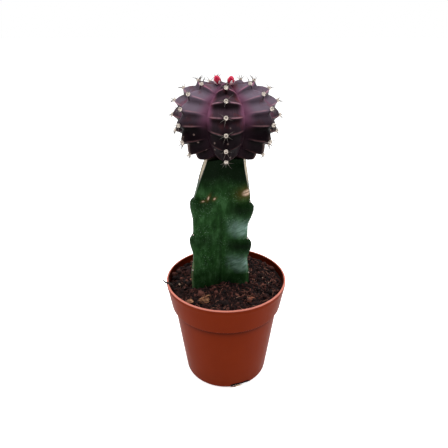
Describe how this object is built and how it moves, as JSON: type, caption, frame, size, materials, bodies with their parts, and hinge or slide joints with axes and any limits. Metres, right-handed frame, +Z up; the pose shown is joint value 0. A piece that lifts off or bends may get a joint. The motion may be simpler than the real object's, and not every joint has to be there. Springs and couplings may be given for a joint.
{
  "type": "potted grafted moon cactus",
  "caption": "Dark ribbed moon cactus grafted on a green three-ribbed rootstock, rooted in a small round plastic nursery pot.",
  "frame": {"origin": "centre of the pot's flat underside, on the surface that it stands on", "axes": "+Z up along the pot's axis towards the crown of the scion; -Y is the front, +X is to the right seen from the front"},
  "size_m": [0.0669, 0.065, 0.165],
  "materials": {
    "pot_plastic": "satin moulded polypropylene",
    "potting_mix": "damp fibrous peat and coir",
    "stock_skin": "waxy green skin with a pale bloom",
    "scion_skin": "dark purple skin, satin",
    "areole_wool": "cream wool with horn-grey spines",
    "bud_petal": "waxy red with pale scale edges",
    "bark": "dry torn bark",
    "twig": "dry dark fibre"
  },
  "bodies": {
    "root": {"bark_chip_front": "bark", "bark_chip_left": "bark", "bark_chip_right": "bark", "flower_bud_left": "bud_petal", "flower_bud_right": "bud_petal", "pot": "pot_plastic", "potting_mix": "potting_mix", "rootstock": "stock_skin", "scion": "scion_skin", "spine_cluster_r1_1": "areole_wool", "spine_cluster_r1_2": "areole_wool", "spine_cluster_r1_3": "areole_wool", "spine_cluster_r1_4": "areole_wool", "spine_cluster_r1_5": "areole_wool", "spine_cluster_r1_6": "areole_wool", "spine_cluster_r2_1": "areole_wool", "spine_cluster_r2_2": "areole_wool", "spine_cluster_r2_3": "areole_wool", "spine_cluster_r2_4": "areole_wool", "spine_cluster_r2_5": "areole_wool", "spine_cluster_r2_6": "areole_wool", "spine_cluster_r3_1": "areole_wool", "spine_cluster_r3_2": "areole_wool", "spine_cluster_r3_3": "areole_wool", "spine_cluster_r3_4": "areole_wool", "spine_cluster_r3_5": "areole_wool", "spine_cluster_r3_6": "areole_wool", "spine_cluster_r4_1": "areole_wool", "spine_cluster_r4_2": "areole_wool", "spine_cluster_r4_3": "areole_wool", "spine_cluster_r4_4": "areole_wool", "spine_cluster_r4_5": "areole_wool", "spine_cluster_r4_6": "areole_wool", "spine_cluster_r5_1": "areole_wool", "spine_cluster_r5_2": "areole_wool", "spine_cluster_r5_3": "areole_wool", "spine_cluster_r5_4": "areole_wool", "spine_cluster_r5_5": "areole_wool", "spine_cluster_r5_6": "areole_wool", "spine_cluster_r5_7": "areole_wool", "spine_cluster_r6_1": "areole_wool", "spine_cluster_r6_2": "areole_wool", "spine_cluster_r6_3": "areole_wool", "spine_cluster_r6_4": "areole_wool", "spine_cluster_r6_5": "areole_wool", "spine_cluster_r6_6": "areole_wool", "spine_cluster_r7_1": "areole_wool", "spine_cluster_r7_2": "areole_wool", "spine_cluster_r7_3": "areole_wool", "spine_cluster_r7_4": "areole_wool", "spine_cluster_r7_5": "areole_wool", "spine_cluster_r7_6": "areole_wool", "twig": "twig"}
  },
  "joints": []
}
